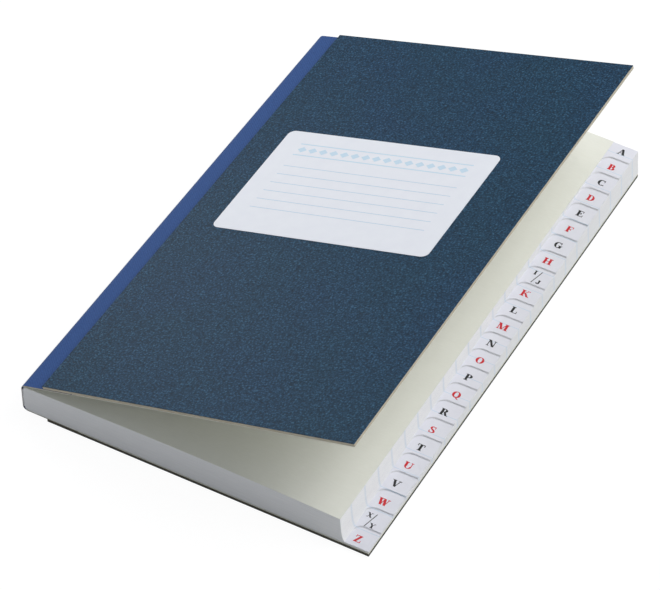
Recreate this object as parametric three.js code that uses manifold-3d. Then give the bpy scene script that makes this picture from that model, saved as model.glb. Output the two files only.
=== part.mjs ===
// Indexed notebook: a cut-flush register with cloth-taped spine, board covers and a stepped A to Z index.
// Millimetres. +X runs from the spine to the fore-edge, +Y from the tail to the head, +Z up from the table.
// The book lies on its back cover with the front cover ajar.

import * as THREE from "three";
import { mergeVertices } from "three/addons/utils/BufferGeometryUtils.js";
import loadManifold from "manifold-3d";

const solidKernel = await loadManifold();
solidKernel.setup();

// Overall size of the trimmed book
const bookWidth = 135;
const bookHeight = 210;

// Sheet and board thicknesses
const leafThickness = 0.108;
const endpaperThickness = 0.12;
const coverPaperThickness = 0.2;
const boardThickness = 1.0;
const tapeThickness = 0.25;
const liningThickness = 0.4;
const labelThickness = 0.1;

// Glue lines, and the air between a closed cover and the free leaf
const glueLine = 0.05;
const leafAir = 0.1;

// Index: sections of leaves, stepped down the fore-edge
const sectionCount = 24;
const leavesPerSection = 4;
const tabWidth = 10;
const firstTabHeight = 7.7;
const lastTabHeight = 8.7;
const tabCornerRadius = 3.5;

// Shape of the relaxed block of leaves
const spineThickening = 0.25;
const leafSwell = 1.4;
const foreEdgeLean = 0.8;
const shoulderRadius = 1.2;

// Cloth tape: bare strip between hinge and board, and the part hidden under the board
const bareStripWidth = 9.4;
const tapeUnderBoard = 12;
const pastedownStepLength = 1;

// Cover hinges: the fold line lies just inside the outer face of the spine
const hingeInset = 0.3;
const hingeClearance = 0.1;
const hingeRise = 0.3;
const coverAjarDegrees = 16.2;

// Title label on the front cover
const labelWidth = 89.2;
const labelHeight = 58.1;
const labelFromHinge = 22.4;
const labelFromTail = 92.1;
const labelCornerRadius = 4;

// Smoothness of the curved outlines
const swellSegments = 28;
const arcSegments = 6;

// Places that follow from the sizes above. x is measured from the outer face of the spine tape here.
const tail = -bookHeight / 2;
const head = bookHeight / 2;
const spineFace = -bookWidth / 2;

// One cover, measured from its hinge plane outwards: pastedown, tape, board and cover paper
const tapeLevel = endpaperThickness + glueLine;
const boardLevel = tapeLevel + tapeThickness + glueLine;
const coverPaperLevel = boardLevel + boardThickness + glueLine;
const coverThickness = coverPaperLevel + coverPaperThickness;
const labelLevel = coverThickness + glueLine;
const coverLength = bookWidth - hingeInset;
const pieceStart = hingeInset + hingeClearance;
const tapeEnd = bareStripWidth + tapeUnderBoard;

// The block of leaves between the covers
const backHingeHeight = coverThickness;
const backFlyleafLevel = backHingeHeight + leafAir;
const blockBottom = backFlyleafLevel + endpaperThickness + glueLine;
const sectionThickness = leafThickness * leavesPerSection;
const blockTop = blockBottom + sectionThickness * sectionCount;
const frontHingeHeight = blockTop + spineThickening + hingeRise;
const liningStart = tapeThickness + glueLine;
const blockStart = liningStart + liningThickness + glueLine;
const tabInner = bookWidth - tabWidth;

// Materials
const bluishWhitePaper = new THREE.MeshStandardMaterial({ color: "#dedee6", roughness: 0.85, metalness: 0 });
const creamPaper = new THREE.MeshStandardMaterial({ color: "#cdcec2", roughness: 0.85, metalness: 0 });
const greyboard = new THREE.MeshStandardMaterial({ color: "#c8beaa", roughness: 0.95, metalness: 0 });
const grainedPaper = new THREE.MeshStandardMaterial({ color: "#2f4e66", roughness: 0.55, metalness: 0 });
const blueCloth = new THREE.MeshStandardMaterial({ color: "#35598f", roughness: 0.8, metalness: 0 });
const gluedScrim = new THREE.MeshStandardMaterial({ color: "#d9d2bf", roughness: 0.9, metalness: 0 });
const labelPaper = new THREE.MeshStandardMaterial({ color: "#f2f2f0", roughness: 0.7, metalness: 0 });

// Height of the top leaf at a distance from the spine: a straight fall to the fore-edge plus the swell
function leafTop(x) {
  const share = (x - blockStart) / (bookWidth - blockStart);
  const straight = blockTop + spineThickening * (1 - share);
  return straight + leafSwell * Math.sin(Math.PI * share);
}

// An outline drawn as (x, z) becomes a bar that runs the full height of the book
function barFromOutline(outline) {
  const bar = new THREE.ExtrudeGeometry(outline, {
    depth: bookHeight,
    bevelEnabled: false,
    curveSegments: arcSegments,
  });
  bar.rotateX(Math.PI / 2);
  bar.translate(0, head, 0);
  return bar;
}

// A flat sheet between two distances from the spine and two heights
function flatSheet(xFrom, xTo, zFrom, zTo) {
  const sheet = new THREE.BoxGeometry(xTo - xFrom, bookHeight, zTo - zFrom);
  sheet.translate((xFrom + xTo) / 2, 0, (zFrom + zTo) / 2);
  return sheet;
}

// The leaves lean back towards the spine as they rise, most at the fore-edge
function leanLeaves(geometry) {
  const position = geometry.attributes.position;
  for (let i = 0; i < position.count; i += 1) {
    const x = position.getX(i);
    const rise = (position.getZ(i) - blockBottom) / (blockTop - blockBottom);
    position.setX(i, x - foreEdgeLean * rise * (x / bookWidth));
  }
  return geometry;
}

// Solids for cutting
function solidFromGeometry(geometry) {
  const bare = geometry.clone();
  bare.deleteAttribute("normal");
  bare.deleteAttribute("uv");
  const merged = mergeVertices(bare);
  return new solidKernel.Manifold(
    new solidKernel.Mesh({
      numProp: 3,
      vertProperties: new Float32Array(merged.attributes.position.array),
      triVerts: new Uint32Array(merged.index.array),
    }),
  );
}

function geometryFromSolid(solid) {
  const mesh = solid.getMesh();
  const geometry = new THREE.BufferGeometry();
  geometry.setAttribute("position", new THREE.BufferAttribute(new Float32Array(mesh.vertProperties), 3));
  geometry.setIndex(new THREE.BufferAttribute(new Uint32Array(mesh.triVerts), 1));
  geometry.computeVertexNormals();
  return geometry;
}

// The uncut block of leaves: flat below, swollen above, with rounded shoulders at the spine
function uncutBlock() {
  const outline = new THREE.Shape();
  const shoulderEnd = blockStart + shoulderRadius;
  const shoulderTop = leafTop(shoulderEnd);
  outline.moveTo(shoulderEnd, blockBottom);
  outline.lineTo(bookWidth, blockBottom);
  for (let i = 0; i <= swellSegments; i += 1) {
    const x = bookWidth + ((shoulderEnd - bookWidth) * i) / swellSegments;
    outline.lineTo(x, leafTop(x));
  }
  outline.absarc(shoulderEnd, shoulderTop - shoulderRadius, shoulderRadius, Math.PI / 2, Math.PI, false);
  outline.absarc(shoulderEnd, blockBottom + shoulderRadius, shoulderRadius, Math.PI, Math.PI * 1.5, false);
  return barFromOutline(outline);
}

// Lower edge of a tab: the first and last tab have heights of their own, the others share the rest
function tabLowerEdge(tab) {
  const pitch = (bookHeight - firstTabHeight - lastTabHeight) / (sectionCount - 2);
  return head - firstTabHeight - tab * pitch;
}

// What is cut away below one tab, down to the next section's leaf, with a round inner corner
function indexStepCutter(tab) {
  const past = tabWidth;
  const upper = tabLowerEdge(tab);
  const outline = new THREE.Shape();
  outline.moveTo(bookWidth + past, upper);
  outline.lineTo(tabInner + tabCornerRadius, upper);
  outline.absarc(
    tabInner + tabCornerRadius,
    upper - tabCornerRadius,
    tabCornerRadius,
    Math.PI / 2,
    Math.PI,
    false,
  );
  outline.lineTo(tabInner, tail - past);
  outline.lineTo(bookWidth + past, tail - past);
  const nextTabLevel = blockTop - (tab + 1) * sectionThickness;
  const cutter = new THREE.ExtrudeGeometry(outline, {
    depth: blockTop + leafSwell + past - nextTabLevel,
    bevelEnabled: false,
    curveSegments: arcSegments,
  });
  cutter.translate(0, 0, nextTabLevel);
  return cutter;
}

// The block of leaves with its stepped index: every section but the last is cut away below its own tab
function pageBlock() {
  let block = solidFromGeometry(uncutBlock());
  for (let tab = 0; tab < sectionCount - 1; tab += 1) {
    block = block.subtract(solidFromGeometry(indexStepCutter(tab)));
  }
  return leanLeaves(geometryFromSolid(block));
}

// The free front leaf lies on the swell and is cut back to the inner edge of the tabs
function frontFlyleaf() {
  const outline = new THREE.Shape();
  const from = blockStart + shoulderRadius;
  const underside = glueLine;
  const topside = glueLine + endpaperThickness;
  outline.moveTo(from, leafTop(from) + underside);
  for (let i = 1; i <= swellSegments; i += 1) {
    const x = from + ((tabInner - from) * i) / swellSegments;
    outline.lineTo(x, leafTop(x) + underside);
  }
  for (let i = swellSegments; i >= 0; i -= 1) {
    const x = from + ((tabInner - from) * i) / swellSegments;
    outline.lineTo(x, leafTop(x) + topside);
  }
  return leanLeaves(barFromOutline(outline));
}

// The pasted half of an endpaper: it covers the tape, then steps down to the board past the tape's end
function pastedown() {
  const step = boardLevel - endpaperThickness - glueLine;
  const outline = new THREE.Shape();
  outline.moveTo(pieceStart, 0);
  outline.lineTo(tapeEnd, 0);
  outline.lineTo(tapeEnd + pastedownStepLength, step);
  outline.lineTo(coverLength, step);
  outline.lineTo(coverLength, step + endpaperThickness);
  outline.lineTo(tapeEnd + pastedownStepLength, step + endpaperThickness);
  outline.lineTo(tapeEnd + glueLine, endpaperThickness);
  outline.lineTo(pieceStart, endpaperThickness);
  return barFromOutline(outline);
}

// The title label: a sheet with four round corners
function titleLabel() {
  const left = labelFromHinge;
  const right = labelFromHinge + labelWidth;
  const low = tail + labelFromTail;
  const high = low + labelHeight;
  const radius = labelCornerRadius;
  const outline = new THREE.Shape();
  outline.moveTo(left + radius, low);
  outline.absarc(right - radius, low + radius, radius, -Math.PI / 2, 0, false);
  outline.absarc(right - radius, high - radius, radius, 0, Math.PI / 2, false);
  outline.absarc(left + radius, high - radius, radius, Math.PI / 2, Math.PI, false);
  outline.absarc(left + radius, low + radius, radius, Math.PI, Math.PI * 1.5, false);
  const sheet = new THREE.ExtrudeGeometry(outline, {
    depth: labelThickness,
    bevelEnabled: false,
    curveSegments: arcSegments,
  });
  sheet.translate(0, 0, labelLevel);
  return sheet;
}

function addPiece(parent, name, geometry, material) {
  const piece = new THREE.Mesh(geometry, material);
  piece.name = name;
  parent.add(piece);
  return piece;
}

// A cover in its own frame: the fold line at the origin, +X along the cover, outwards from the leaves
function addCoverPieces(cover, side, outward) {
  const level = (from, to) => (outward > 0 ? [from, to] : [-to, -from]);
  const folded = pastedown();
  if (outward < 0) {
    folded.rotateX(Math.PI);
  }
  const tape = flatSheet(pieceStart, tapeEnd, ...level(tapeLevel, tapeLevel + tapeThickness));
  const board = flatSheet(bareStripWidth, coverLength, ...level(boardLevel, boardLevel + boardThickness));
  const paper = flatSheet(bareStripWidth, coverLength, ...level(coverPaperLevel, coverThickness));
  addPiece(cover, `${side}_pastedown`, folded, creamPaper);
  addPiece(cover, `${side}_tape_flap`, tape, blueCloth);
  addPiece(cover, `${side}_board`, board, greyboard);
  addPiece(cover, `${side}_cover_paper`, paper, grainedPaper);
}

const notebook = new THREE.Group();
notebook.position.x = spineFace;

// Leaves, lining and the part of the tape on the spine
addPiece(notebook, "page_block", pageBlock(), bluishWhitePaper);
addPiece(notebook, "front_flyleaf", frontFlyleaf(), creamPaper);
addPiece(
  notebook,
  "back_flyleaf",
  flatSheet(blockStart + shoulderRadius, bookWidth, backFlyleafLevel, backFlyleafLevel + endpaperThickness),
  creamPaper,
);
addPiece(
  notebook,
  "spine_lining",
  flatSheet(
    liningStart,
    liningStart + liningThickness,
    blockBottom + shoulderRadius,
    blockTop + spineThickening - shoulderRadius,
  ),
  gluedScrim,
);
addPiece(
  notebook,
  "spine_tape",
  flatSheet(0, tapeThickness, backHingeHeight, frontHingeHeight),
  blueCloth,
);

// The front cover, turned open at the top shoulder of the spine
const frontCover = new THREE.Group();
frontCover.position.set(hingeInset, 0, frontHingeHeight);
frontCover.rotation.y = -THREE.MathUtils.degToRad(coverAjarDegrees);
addCoverPieces(frontCover, "front", 1);
addPiece(frontCover, "front_label", titleLabel(), labelPaper);
notebook.add(frontCover);

// The back cover, closed under the leaves
const backCover = new THREE.Group();
backCover.position.set(hingeInset, 0, backHingeHeight);
addCoverPieces(backCover, "back", -1);
notebook.add(backCover);

export default notebook;
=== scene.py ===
# %% [markdown]
# # An indexed notebook
# A notebook is paper, board and cloth, so nearly all of its character sits in thin edges: leaves in steps, a raw
# board, a woven strip. This lesson builds those edges as real shapes and leaves only grain and weave to the materials.
# The CAD model comes first. It says how large everything is, and which body each piece turns with.

# %% Load the frame
import math

import bmesh
import bpy
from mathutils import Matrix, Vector


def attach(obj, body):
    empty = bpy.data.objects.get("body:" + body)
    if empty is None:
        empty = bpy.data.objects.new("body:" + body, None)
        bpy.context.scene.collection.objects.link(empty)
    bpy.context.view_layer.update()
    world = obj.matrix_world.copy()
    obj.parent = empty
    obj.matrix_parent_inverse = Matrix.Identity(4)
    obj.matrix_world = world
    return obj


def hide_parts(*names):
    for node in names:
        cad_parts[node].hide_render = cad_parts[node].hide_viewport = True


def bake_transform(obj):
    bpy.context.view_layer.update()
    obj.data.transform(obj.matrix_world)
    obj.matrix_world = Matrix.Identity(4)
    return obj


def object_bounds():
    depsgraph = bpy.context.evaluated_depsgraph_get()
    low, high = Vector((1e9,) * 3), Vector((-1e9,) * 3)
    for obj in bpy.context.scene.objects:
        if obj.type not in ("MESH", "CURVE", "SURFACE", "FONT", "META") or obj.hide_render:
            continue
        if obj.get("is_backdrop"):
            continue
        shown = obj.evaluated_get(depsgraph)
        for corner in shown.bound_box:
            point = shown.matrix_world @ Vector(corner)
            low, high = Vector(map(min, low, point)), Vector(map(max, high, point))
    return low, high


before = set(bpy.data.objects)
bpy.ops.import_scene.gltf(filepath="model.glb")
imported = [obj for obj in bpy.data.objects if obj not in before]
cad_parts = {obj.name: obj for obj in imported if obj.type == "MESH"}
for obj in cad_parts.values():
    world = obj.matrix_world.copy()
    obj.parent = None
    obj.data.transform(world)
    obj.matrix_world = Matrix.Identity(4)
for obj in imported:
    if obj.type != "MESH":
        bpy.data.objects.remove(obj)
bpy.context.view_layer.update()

# %% [markdown]
# ## Sizes
# Everything below is worked out in millimetres and turned to metres when a mesh is written. The origin is under the
# middle of the book, so "distance from the spine" becomes X by taking half the width away.

# %% Sizes of the book, in millimetres
MM = 0.001
WIDTH = 135.0
HEIGHT = 210.0
TAIL = -HEIGHT / 2
HEAD = HEIGHT / 2

SECTIONS = 24
LEAVES_PER_SECTION = 4
BLOCK_START = 0.75
BLOCK_BOTTOM = 1.99
BLOCK_TOP = 12.358
SPINE_THICKENING = 0.25
LEAF_SWELL = 1.4
FORE_EDGE_LEAN = 0.8
SHOULDER_RADIUS = 1.2

TAB_WIDTH = 10.0
FIRST_TAB = 7.7
LAST_TAB = 8.7
TAB_PITCH = (HEIGHT - FIRST_TAB - LAST_TAB) / (SECTIONS - 2)
TAB_CORNER = 3.5
TAB_INNER = WIDTH - TAB_WIDTH

HINGE_INSET = 0.3
FRONT_HINGE = 12.908
BACK_HINGE = 1.72
AJAR = math.radians(16.2)
COVER_LENGTH = WIDTH - HINGE_INSET
BOARD_START = 9.4
TAPE_END = 21.4

# Layers of a cover, as thickness or as height out of the hinge plane
ENDPAPER = 0.12
GLUE = 0.05
TAPE = 0.25
TAPE_LEVEL = 0.295  # middle of the tape's flap
BOARD_LEVELS = (0.47, 1.47)
COVER_PAPER_LEVELS = (1.5, 1.72)
LABEL_LEVEL = 1.74
LABEL_THICKNESS = 0.13
INK_GAP = 0.004  # under an ink plate, so that it doesn't flicker
INK_FILM = 0.012


def leaf_top(x):
    """Height of the top leaf at a distance from the spine."""
    share = (x - BLOCK_START) / (WIDTH - BLOCK_START)
    return BLOCK_TOP + SPINE_THICKENING * (1 - share) + LEAF_SWELL * math.sin(math.pi * share)


def leaned(x, z):
    """The leaves lean back towards the spine as they rise."""
    rise = (z - BLOCK_BOTTOM) / (BLOCK_TOP - BLOCK_BOTTOM)
    return x - FORE_EDGE_LEAN * rise * x / WIDTH, z


def on_front_cover(along, out):
    """A place on the open front cover, as distance from the spine and height."""
    turn_x, turn_z = math.cos(AJAR), math.sin(AJAR)
    return HINGE_INSET + along * turn_x - out * turn_z, FRONT_HINGE + along * turn_z + out * turn_x


def on_back_cover(along, out):
    """The same for the closed back cover, whose outside faces down."""
    return HINGE_INSET + along, BACK_HINGE - out


print("tab pitch", round(TAB_PITCH, 2), "mm, highest point of the swell", round(leaf_top(WIDTH / 2), 2), "mm")

# %% [markdown]
# ## Nodes without the typing
# A node tree is a list of nodes and wires. One helper adds a node, sets its options and fills its inputs, either with
# a number or with a wire from another node. It serves materials and Geometry Nodes alike. The part that fills inputs
# also works by itself, on a shader that is there already.

# %% Helpers for nodes, colours and objects
RGBA = {"data_type": "RGBA"}


def fill(tree, node, inputs):
    """Fill a node's inputs. A node or a socket becomes a wire, anything else a value."""
    for key, value in inputs.items():
        if isinstance(value, bpy.types.Node):
            value = next(output for output in value.outputs if output.enabled)
        if isinstance(value, bpy.types.NodeSocket):
            tree.links.new(value, node.inputs[key])
        else:
            node.inputs[key].default_value = value


def add(tree, kind, options=None, inputs=None):
    """Add a node, set its options and fill its inputs."""
    node = tree.nodes.new(kind)
    for name, value in (options or {}).items():
        setattr(node, name, value)
    fill(tree, node, inputs or {})
    return node


def colour(code):
    """Turn an sRGB hex code into the linear colour that shaders expect."""
    parts = [int(code[i : i + 2], 16) / 255 for i in (1, 3, 5)]
    linear = [p / 12.92 if p <= 0.04045 else ((p + 0.055) / 1.055) ** 2.4 for p in parts]
    return (*linear, 1.0)


def material(name):
    """A new node material with a bare Principled shader; returns the material, its tree and the shader."""
    made = bpy.data.materials.new(name)
    made.use_nodes = True
    tree = made.node_tree
    tree.nodes.clear()
    shader = tree.nodes.new("ShaderNodeBsdfPrincipled")
    output = tree.nodes.new("ShaderNodeOutputMaterial")
    tree.links.new(shader.outputs["BSDF"], output.inputs["Surface"])
    return made, tree, shader


def in_scene(name, data):
    """A new object in the scene."""
    made = bpy.data.objects.new(name, data)
    bpy.context.collection.objects.link(made)
    return made


def painted_mesh(name, mesh, paint):
    """Turn a bmesh into an object at the origin, with one material."""
    data = bpy.data.meshes.new(name)
    mesh.to_mesh(data)
    mesh.free()
    data.materials.append(paint)
    return in_scene(name, data)


print("helpers ready; the middle grey #808080 is", round(colour("#808080")[0], 3), "in linear light")

# %% [markdown]
# ## Writing paper
# Wood-free writing paper is calendered smooth, with a faint cloudiness where fibres gathered on the wire. Its bluish
# white comes from a tint in the pulp. Every page is ruled in pale blue, and the lines run out over the index tabs.
# Trimmed edges look greyer, because light sinks in between the leaves. Object coordinates carry all of it: the rule
# lines repeat along Y, and only faces that look up or down are ruled.

# %% Material: ruled writing paper
RULE_PITCH = 9.4 * MM
RULE_PHASE = -78.7 * MM
RULE_HALF_WIDTH = 0.11 * MM
INDEX_WALL = 62 * MM  # a cut face with a smaller X is the inner wall of the index

page_paper, tree, shader = material("wood_free_writing_paper_ruled")
place = add(tree, "ShaderNodeTexCoord").outputs["Object"]
split = add(tree, "ShaderNodeSeparateXYZ", inputs={0: place})
clouds = add(tree, "ShaderNodeTexNoise", inputs={"Vector": place, "Scale": 260.0, "Detail": 4.0, "Roughness": 0.6})
sheet = add(tree, "ShaderNodeMix", RGBA, {"Factor": clouds.outputs[0], 6: colour("#dcdce4"), 7: colour("#e2e2e9")})
# Streaks along the trimmed edges: each leaf is cut a little differently
stretch = add(tree, "ShaderNodeMapping", inputs={"Vector": place, "Scale": (140.0, 140.0, 9000.0)})
streaks = add(tree, "ShaderNodeTexNoise", inputs={"Vector": stretch, "Scale": 1.0, "Detail": 3.0})
edge = add(tree, "ShaderNodeMix", RGBA, {"Factor": streaks.outputs[0], 6: colour("#d4d4d3"), 7: colour("#ebebe9")})
normal = add(tree, "ShaderNodeNewGeometry").outputs["Normal"]
upright = add(tree, "ShaderNodeSeparateXYZ", inputs={0: normal})
flatness = add(tree, "ShaderNodeMath", {"operation": "ABSOLUTE"}, {0: upright.outputs[2]})
facing = add(tree, "ShaderNodeMath", {"operation": "GREATER_THAN"}, {0: flatness, 1: 0.6})
# The inner wall of the index faces the key lamp, so it is painted paler than the outer edges: painted light
inwards = add(tree, "ShaderNodeMath", {"operation": "LESS_THAN"}, {0: split.outputs[0], 1: INDEX_WALL})
outwards = add(tree, "ShaderNodeMath", {"operation": "GREATER_THAN"}, {0: upright.outputs[0], 1: 0.3})
painted_light_wall = add(tree, "ShaderNodeMath", {"operation": "MULTIPLY"}, {0: inwards, 1: outwards})
cut_face = add(tree, "ShaderNodeMix", RGBA, {"Factor": painted_light_wall, 6: edge.outputs[2], 7: colour("#f1f1ef")})
body = add(tree, "ShaderNodeMix", RGBA, {"Factor": facing, 6: cut_face.outputs[2], 7: sheet.outputs[2]})
# Ruling: distance to the nearest line along Y
shifted = add(tree, "ShaderNodeMath", {"operation": "SUBTRACT"}, {0: split.outputs[1], 1: RULE_PHASE})
nearest = add(tree, "ShaderNodeMath", {"operation": "PINGPONG"}, {0: shifted, 1: RULE_PITCH / 2})
inked = add(tree, "ShaderNodeMath", {"operation": "LESS_THAN"}, {0: nearest, 1: RULE_HALF_WIDTH})
ruled = add(tree, "ShaderNodeMath", {"operation": "MULTIPLY"}, {0: inked, 1: facing})
# Each line runs out to the cut and shows there as a soft tick, leaf over leaf
tick = add(
    tree,
    "ShaderNodeMapRange",
    inputs={"Value": nearest, "From Min": 0.15 * MM, "From Max": 0.9 * MM, "To Min": 0.4, "To Max": 0.0},
)
on_cut = add(tree, "ShaderNodeMath", {"operation": "SUBTRACT"}, {0: 1.0, 1: facing})
ticked = add(tree, "ShaderNodeMath", {"operation": "MULTIPLY"}, {0: tick, 1: on_cut})
printed = add(tree, "ShaderNodeMath", {"operation": "MAXIMUM"}, {0: ruled, 1: ticked})
finish = add(tree, "ShaderNodeMix", RGBA, {"Factor": printed, 6: body.outputs[2], 7: colour("#c3d3e3")})
tooth = add(tree, "ShaderNodeTexNoise", inputs={"Vector": place, "Scale": 5000.0, "Detail": 2.0})
relief = add(tree, "ShaderNodeBump", inputs={"Height": tooth, "Strength": 0.15, "Distance": 0.00003})
fill(tree, shader, {"Base Color": finish.outputs[2], "Normal": relief, "Roughness": 0.9, "IOR": 1.45})
print("ruling every", RULE_PITCH / MM, "mm")

# %% [markdown]
# ## Endpaper
# The endpapers are a heavier, uncoated cream stock. Long fibres show as faint flecks, and the surface has more tooth
# than the writing paper.

# %% Material: cream endpaper
endpaper, tree, shader = material("uncoated_cream_endpaper")
place = add(tree, "ShaderNodeTexCoord").outputs["Object"]
clouds = add(tree, "ShaderNodeTexNoise", inputs={"Vector": place, "Scale": 180.0, "Detail": 5.0, "Roughness": 0.65})
fibre_place = add(tree, "ShaderNodeMapping", inputs={"Vector": place, "Scale": (300.0, 1500.0, 300.0)})
fibres = add(tree, "ShaderNodeTexNoise", inputs={"Vector": fibre_place, "Scale": 1.0, "Detail": 4.0, "Distortion": 0.6})
mixed = add(tree, "ShaderNodeMix", inputs={"Factor": 0.5, 2: clouds.outputs[0], 3: fibres.outputs[0]})
tint = add(tree, "ShaderNodeMix", RGBA, {"Factor": mixed.outputs[0], 6: colour("#dfdfd4"), 7: colour("#eaeae1")})
relief = add(tree, "ShaderNodeBump", inputs={"Height": fibres.outputs[0], "Strength": 0.25, "Distance": 0.00004})
fill(tree, shader, {"Base Color": tint.outputs[2], "Normal": relief, "Roughness": 0.92, "IOR": 1.45})

# %% [markdown]
# ## Grained cover paper
# The covers are wrapped in a dark blue paper that was embossed between rollers with a fine leather grain, then
# varnished. The grain is a crumple of pebbles about a millimetre across, coloured lighter on the tops and darker in the
# creases. A Voronoi pattern gives the creases between the pebbles, noise breaks them up, and a slow, wide noise shifts
# the dye from teal to navy, as on any batch of printed paper.

# %% Material: embossed cover paper
GRAIN_SIZE = 1.0 * MM

cover_paper, tree, shader = material("leather_grained_cover_paper")
place = add(tree, "ShaderNodeTexCoord").outputs["Object"]
wander = add(tree, "ShaderNodeTexNoise", inputs={"Vector": place, "Scale": 0.7 / GRAIN_SIZE, "Detail": 2.0})
pushed = add(
    tree,
    "ShaderNodeVectorMath",
    {"operation": "MULTIPLY_ADD"},
    {0: wander.outputs[1], 1: (GRAIN_SIZE, GRAIN_SIZE, GRAIN_SIZE), 2: place},
)
creases = add(
    tree,
    "ShaderNodeTexVoronoi",
    {"feature": "DISTANCE_TO_EDGE"},
    {"Vector": pushed, "Scale": 1.0 / GRAIN_SIZE, "Randomness": 1.0},
)
pebble = add(tree, "ShaderNodeMapRange", inputs={"Value": creases, "From Max": 0.35})
mottle = add(
    tree,
    "ShaderNodeTexNoise",
    inputs={"Vector": place, "Scale": 1.3 / GRAIN_SIZE, "Detail": 3.0, "Roughness": 0.6},
)
mottle_share = add(tree, "ShaderNodeMapRange", inputs={"Value": mottle.outputs[0], "From Min": 0.3, "From Max": 0.7})
height = add(tree, "ShaderNodeMix", inputs={"Factor": 0.68, 2: pebble, 3: mottle_share})
# The ramp colours the creases between the pebbles dark and the tops light
ramp = add(tree, "ShaderNodeValToRGB", inputs={"Fac": height.outputs[0]})
ramp.color_ramp.elements[0].position = 0.12
ramp.color_ramp.elements[0].color = colour("#0a2738")
ramp.color_ramp.elements[1].position = 0.9
ramp.color_ramp.elements[1].color = colour("#3e6784")
ramp.color_ramp.elements.new(0.5).color = colour("#163d58")
drift = add(tree, "ShaderNodeTexNoise", inputs={"Vector": place, "Scale": 30.0, "Detail": 2.0})
dye = add(tree, "ShaderNodeMix", RGBA, {"Factor": drift.outputs[0], 6: colour("#e4f4e8"), 7: colour("#f2f0ff")})
tinted = add(
    tree,
    "ShaderNodeMix",
    {"data_type": "RGBA", "blend_type": "MULTIPLY"},
    {"Factor": 1.0, 6: ramp.outputs[0], 7: dye.outputs[2]},
)
relief = add(tree, "ShaderNodeBump", inputs={"Height": height.outputs[0], "Strength": 0.6, "Distance": 0.00012})
looks = {
    "Base Color": tinted.outputs[2],
    "Normal": relief,
    "Roughness": 0.5,
    "IOR": 1.5,
    "Specular IOR Level": 0.21,
}
fill(tree, shader, looks)
print("leather grain", round(GRAIN_SIZE / MM, 2), "mm")

# %% [markdown]
# ## Raw greyboard
# The boards are cut flush and left bare, so their edges show pressed pulp: a beige felt of short fibres in layers that
# run with the board. Noise stretched along the board gives the layers.

# %% Material: raw board, beige on the front and painted darker below as shade


def raw_board(name, dark, light):
    """Bare pulp board, in layers that run with the board."""
    made, tree, shader = material(name)
    place = add(tree, "ShaderNodeTexCoord").outputs["Object"]
    layer_place = add(tree, "ShaderNodeMapping", inputs={"Vector": place, "Scale": (350.0, 350.0, 4200.0)})
    layers = add(
        tree,
        "ShaderNodeTexNoise",
        inputs={"Vector": layer_place, "Scale": 1.0, "Detail": 5.0, "Roughness": 0.7},
    )
    ramp = add(tree, "ShaderNodeValToRGB", inputs={"Fac": layers.outputs[0]})
    ramp.color_ramp.elements[0].position = 0.3
    ramp.color_ramp.elements[0].color = colour(dark)
    ramp.color_ramp.elements[1].position = 0.7
    ramp.color_ramp.elements[1].color = colour(light)
    relief = add(tree, "ShaderNodeBump", inputs={"Height": layers.outputs[0], "Strength": 0.6, "Distance": 0.0001})
    fill(tree, shader, {"Base Color": ramp.outputs[0], "Normal": relief, "Roughness": 0.95, "IOR": 1.45})
    return made


greyboards = {
    "front": raw_board("raw_pulp_board_cut_edge", "#a19782", "#cac2af"),
    # The back board's colours are painted shade: much darker, for edges that lie in shadow near the floor
    "back": raw_board("raw_pulp_board_painted_shade", "#2e2b20", "#5a5442"),
}

# %% [markdown]
# ## Book cloth
# The tape is plain-woven cotton, dyed blue and filled with starch size, so the threads are flattened and the gloss is
# low. It needs a pattern that follows the cloth round the spine, so each tape piece carries a UV map in millimetres:
# U runs across the tape, V along the book. Two waves cross at the thread spacing.

# %% Material: woven book cloth
THREAD = 0.55  # mm from thread to thread, a medium buckram

book_cloth, tree, shader = material("blue_starched_cotton_book_cloth")
cloth_uv = add(tree, "ShaderNodeUVMap", {"uv_map": "millimetres"}).outputs[0]
across = add(tree, "ShaderNodeSeparateXYZ", inputs={0: cloth_uv})
warp_angle = add(tree, "ShaderNodeMath", {"operation": "MULTIPLY"}, {0: across.outputs[0], 1: math.pi / THREAD})
weft_angle = add(tree, "ShaderNodeMath", {"operation": "MULTIPLY"}, {0: across.outputs[1], 1: math.pi / THREAD})
warp = add(tree, "ShaderNodeMath", {"operation": "SINE"}, {0: warp_angle})
weft = add(tree, "ShaderNodeMath", {"operation": "SINE"}, {0: weft_angle})
crossing = add(tree, "ShaderNodeMath", {"operation": "MULTIPLY"}, {0: warp, 1: weft})
slubs = add(tree, "ShaderNodeTexNoise", inputs={"Vector": cloth_uv, "Scale": 1.3, "Detail": 5.0, "Roughness": 0.7})
weave = add(tree, "ShaderNodeMath", {"operation": "MULTIPLY_ADD"}, {0: crossing, 1: 0.16, 2: slubs.outputs[0]})
ramp = add(tree, "ShaderNodeValToRGB", inputs={"Fac": weave})
ramp.color_ramp.elements[0].position = 0.25
ramp.color_ramp.elements[0].color = colour("#1d4079")
ramp.color_ramp.elements[1].position = 0.75
ramp.color_ramp.elements[1].color = colour("#315894")
# The dye stays near the face, so the cut ends of the cloth show a beige core
cut_normal = add(tree, "ShaderNodeSeparateXYZ", inputs={0: add(tree, "ShaderNodeNewGeometry").outputs["Normal"]})
along_book = add(tree, "ShaderNodeMath", {"operation": "ABSOLUTE"}, {0: cut_normal.outputs[1]})
on_cut = add(tree, "ShaderNodeMath", {"operation": "GREATER_THAN"}, {0: along_book, 1: 0.9})
cloth_colour = add(tree, "ShaderNodeMix", RGBA, {"Factor": on_cut, 6: ramp.outputs[0], 7: colour("#908b80")})
relief = add(tree, "ShaderNodeBump", inputs={"Height": weave, "Strength": 0.5, "Distance": 0.00008})
looks = {
    "Base Color": cloth_colour.outputs[2],
    "Normal": relief,
    "Roughness": 0.7,
    "IOR": 1.5,
    "Specular IOR Level": 0.3,
    "Sheen Weight": 0.05,
}
fill(tree, shader, looks)
print("weave", THREAD, "mm from thread to thread")

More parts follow.
